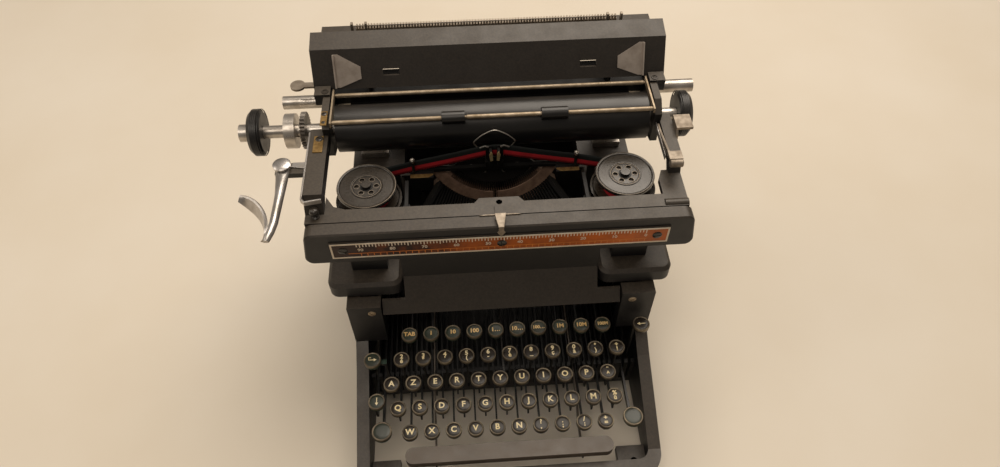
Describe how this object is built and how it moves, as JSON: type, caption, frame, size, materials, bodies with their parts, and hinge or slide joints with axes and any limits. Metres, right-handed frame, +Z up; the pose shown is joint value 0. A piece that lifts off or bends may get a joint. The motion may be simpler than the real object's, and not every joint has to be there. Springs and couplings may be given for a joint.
{
  "type": "desk typewriter",
  "caption": "Front-strike desk typewriter with an open keyboard, tabulator keys, type basket, twin ribbon spools and a sliding carriage with platen, bail and paper table.",
  "frame": {"origin": "on the table, under the centre of the cast base and of its four feet", "axes": "+X to the typist's right, +Y to the back, +Z up"},
  "size_m": [0.4035, 0.345, 0.28],
  "materials": {
    "black_enamel": "worn black baked enamel, satin",
    "nickel": "warm worn nickel plate",
    "steel": "plain and blued steel parts",
    "brass": "bare brass",
    "key_black": "black key tops with light legends",
    "key_green": "dark green key tops",
    "space_grey": "satin dark grey",
    "platen_rubber": "hard black platen rubber",
    "knob_black": "black hard rubber knobs",
    "foot_rubber": "black rubber",
    "ribbon_cloth": "inked cloth ribbon, its red half up",
    "scale_cream": "cream and amber scale plate"
  },
  "bodies": {
    "machine_frame": {"base_frame": "black_enamel", "rubber_feet": "foot_rubber", "top_deck": "black_enamel", "front_panel": "black_enamel", "back_panel": "black_enamel", "scale_bar": "black_enamel", "scale_plate": "scale_cream", "rear_rail": "steel", "lever_comb": "steel", "ribbon": "ribbon_cloth", "type_guide": "steel", "spool_cups": "black_enamel", "rear_brackets": "steel"},
    "type_basket": {"segment": "steel", "type_bars": "steel", "type_rest": "steel", "type_links": "steel"},
    "middle_bar": {"type_bar_middle": "steel"},
    "lower_row": {"levers_lower": "steel", "key_tops_lower": "key_black"},
    "home_row": {"levers_home": "steel", "key_tops_home": "key_black"},
    "upper_row": {"levers_upper": "steel", "key_tops_upper": "key_black"},
    "number_row": {"levers_number": "steel", "key_tops_number": "key_black"},
    "tab_row": {"levers_tab": "steel", "key_tops_tab": "key_green"},
    "middle_key": {"key_middle": "key_black"},
    "space_bar_body": {"space_bar": "space_grey"},
    "shift_body": {"shift_keys": "key_green"},
    "shift_lock_body": {"shift_lock_key": "key_green"},
    "margin_release_body": {"margin_release_key": "key_green"},
    "backspace_body": {"backspace_key": "key_green"},
    "left_spool": {"spool_left": "black_enamel"},
    "right_spool": {"spool_right": "black_enamel"},
    "carriage": {"carriage_left_end": "black_enamel", "carriage_right_end": "black_enamel", "carriage_front_bar": "black_enamel", "carriage_rear_bar": "steel", "paper_table": "black_enamel", "rear_housing": "black_enamel", "tab_and_margin_rack": "nickel"},
    "front_roller_body": {"front_roller": "steel"},
    "platen_body": {"platen": "platen_rubber", "platen_shaft": "nickel", "platen_knobs": "knob_black", "ratchet_wheel": "steel"},
    "bail": {"bail_frame": "nickel"},
    "bail_rollers_body": {"bail_rollers": "platen_rubber"},
    "left_margin_stop": {"margin_stop_left": "nickel"},
    "right_margin_stop": {"margin_stop_right": "nickel"},
    "left_paper_guide": {"paper_guide_left": "nickel"},
    "right_paper_guide": {"paper_guide_right": "nickel"},
    "return_lever_body": {"return_lever": "nickel"},
    "carriage_release_body": {"carriage_release": "nickel"},
    "paper_release_body": {"paper_release": "nickel"},
    "line_selector_body": {"line_space_selector": "nickel"},
    "escapement_wheel_body": {"escapement_wheel": "brass"},
    "mainspring_body": {"mainspring_drum": "brass"}
  },
  "joints": [
    {"name": "lower_row_press", "type": "hinge", "parent": "machine_frame", "child": "lower_row", "pos_m": [0, 0.112, 0.043], "axis": [1, 0, 0], "range_deg": [0, 3.2], "stiffness_Nm_per_rad": 1.5, "springref_deg": -22.92},
    {"name": "home_row_press", "type": "hinge", "parent": "machine_frame", "child": "home_row", "pos_m": [0, 0.112, 0.043], "axis": [1, 0, 0], "range_deg": [0, 3.4], "stiffness_Nm_per_rad": 1.5, "springref_deg": -22.92},
    {"name": "upper_row_press", "type": "hinge", "parent": "machine_frame", "child": "upper_row", "pos_m": [0, 0.112, 0.043], "axis": [1, 0, 0], "range_deg": [0, 3.4], "stiffness_Nm_per_rad": 1.5, "springref_deg": -22.92},
    {"name": "number_row_press", "type": "hinge", "parent": "machine_frame", "child": "number_row", "pos_m": [0, 0.112, 0.043], "axis": [1, 0, 0], "range_deg": [0, 3.4], "stiffness_Nm_per_rad": 1.5, "springref_deg": -22.92},
    {"name": "tab_row_press", "type": "hinge", "parent": "machine_frame", "child": "tab_row", "pos_m": [0, 0.02, 0.072], "axis": [1, 0, 0], "range_deg": [0, 7], "stiffness_Nm_per_rad": 1, "springref_deg": -22.92},
    {"name": "middle_key_press", "type": "hinge", "parent": "machine_frame", "child": "middle_key", "pos_m": [0, 0.112, 0.043], "axis": [1, 0, 0], "range_deg": [0, 3.4], "stiffness_Nm_per_rad": 0.15, "springref_deg": -28.65},
    {"name": "middle_bar_swing", "type": "hinge", "parent": "type_basket", "child": "middle_bar", "pos_m": [0, 0.0555, 0.154], "axis": [-1, 0, 0], "range_deg": [0, 97]},
    {"name": "space_bar_press", "type": "hinge", "parent": "machine_frame", "child": "space_bar_body", "pos_m": [0, 0.112, 0.043], "axis": [1, 0, 0], "range_deg": [0, 2.2], "stiffness_Nm_per_rad": 0.6, "springref_deg": -28.65},
    {"name": "shift_press", "type": "hinge", "parent": "machine_frame", "child": "shift_body", "pos_m": [0, 0.112, 0.043], "axis": [1, 0, 0], "range_deg": [0, 3], "stiffness_Nm_per_rad": 1, "springref_deg": -28.65},
    {"name": "shift_lock_press", "type": "hinge", "parent": "machine_frame", "child": "shift_lock_body", "pos_m": [0, 0.112, 0.043], "axis": [1, 0, 0], "range_deg": [0, 2.6], "stiffness_Nm_per_rad": 0.15, "springref_deg": -28.65},
    {"name": "margin_release_press", "type": "hinge", "parent": "machine_frame", "child": "margin_release_body", "pos_m": [0, 0.112, 0.043], "axis": [1, 0, 0], "range_deg": [0, 3], "stiffness_Nm_per_rad": 0.15, "springref_deg": -28.65},
    {"name": "backspace_press", "type": "hinge", "parent": "machine_frame", "child": "backspace_body", "pos_m": [0, 0.112, 0.043], "axis": [1, 0, 0], "range_deg": [0, 3], "stiffness_Nm_per_rad": 0.15, "springref_deg": -28.65},
    {"name": "basket_shift", "type": "slide", "parent": "machine_frame", "child": "type_basket", "axis": [0, 0, -1], "range_m": [0, 0.0065], "stiffness_N_per_m": 400, "springref_m": -0.03},
    {"name": "left_spool_turn", "type": "hinge", "parent": "machine_frame", "child": "left_spool", "pos_m": [-0.109, 0.029, 0.197], "axis": [0, 0, 1], "continuous": true},
    {"name": "right_spool_turn", "type": "hinge", "parent": "machine_frame", "child": "right_spool", "pos_m": [0.109, 0.029, 0.197], "axis": [0, 0, 1], "continuous": true},
    {"name": "carriage_travel", "type": "slide", "parent": "machine_frame", "child": "carriage", "axis": [1, 0, 0], "range_m": [-0.114, 0.114]},
    {"name": "front_roller_turn", "type": "hinge", "parent": "carriage", "child": "front_roller_body", "pos_m": [0, -0.0115, 0.2061], "axis": [0, 1, 0], "continuous": true},
    {"name": "platen_turn", "type": "hinge", "parent": "carriage", "child": "platen_body", "pos_m": [0, 0.082, 0.222], "axis": [1, 0, 0], "continuous": true},
    {"name": "bail_lift", "type": "hinge", "parent": "carriage", "child": "bail", "pos_m": [0, 0.104, 0.24], "axis": [-1, 0, 0], "range_deg": [0, 70]},
    {"name": "bail_rollers_turn", "type": "hinge", "parent": "bail", "child": "bail_rollers_body", "pos_m": [0, 0.0668, 0.243], "axis": [1, 0, 0], "continuous": true},
    {"name": "left_margin_slide", "type": "slide", "parent": "carriage", "child": "left_margin_stop", "axis": [1, 0, 0], "range_m": [-0.012, 0.08]},
    {"name": "right_margin_slide", "type": "slide", "parent": "carriage", "child": "right_margin_stop", "axis": [1, 0, 0], "range_m": [-0.08, 0.012]},
    {"name": "left_guide_slide", "type": "slide", "parent": "carriage", "child": "left_paper_guide", "axis": [1, 0, 0], "range_m": [0, 0.038]},
    {"name": "right_guide_slide", "type": "slide", "parent": "carriage", "child": "right_paper_guide", "axis": [1, 0, 0], "range_m": [-0.038, 0]},
    {"name": "return_lever_swing", "type": "hinge", "parent": "carriage", "child": "return_lever_body", "pos_m": [-0.1735, 0.033, 0.228], "axis": [0, 0, 1], "range_deg": [0, 15], "stiffness_Nm_per_rad": 0.3, "springref_deg": -17.19},
    {"name": "carriage_release_press", "type": "hinge", "parent": "carriage", "child": "carriage_release_body", "pos_m": [0.153, 0.05, 0.225], "axis": [1, 0, 0], "range_deg": [0, 15], "stiffness_Nm_per_rad": 0.02, "springref_deg": -28.65},
    {"name": "paper_release_pull", "type": "hinge", "parent": "carriage", "child": "paper_release_body", "pos_m": [0.1404, 0.06, 0.225], "axis": [-1, 0, 0], "range_deg": [0, 12]},
    {"name": "line_selector_set", "type": "hinge", "parent": "carriage", "child": "line_selector_body", "pos_m": [-0.1438, 0.114, 0.227], "axis": [1, 0, 0], "range_deg": [-12, 0]},
    {"name": "escapement_turn", "type": "hinge", "parent": "machine_frame", "child": "escapement_wheel_body", "pos_m": [0, 0.11, 0.20991], "axis": [0, 1, 0], "continuous": true},
    {"name": "mainspring_turn", "type": "hinge", "parent": "machine_frame", "child": "mainspring_body", "pos_m": [-0.07, 0.157, 0.18], "axis": [0, 1, 0], "range_deg": [-255, 255]}
  ],
  "couplings": [
    {"joint": "middle_bar_swing", "follows": "middle_key_press", "ratio": 28.5},
    {"joint": "basket_shift", "follows": "shift_press", "m_per_rad": 0.124},
    {"joint": "right_spool_turn", "follows": "left_spool_turn", "ratio": 1},
    {"joint": "front_roller_turn", "follows": "carriage_travel", "rad_per_m": 285.7},
    {"joint": "escapement_turn", "follows": "carriage_travel", "rad_per_m": 123.69},
    {"joint": "mainspring_turn", "follows": "carriage_travel", "rad_per_m": 38.46}
  ]
}
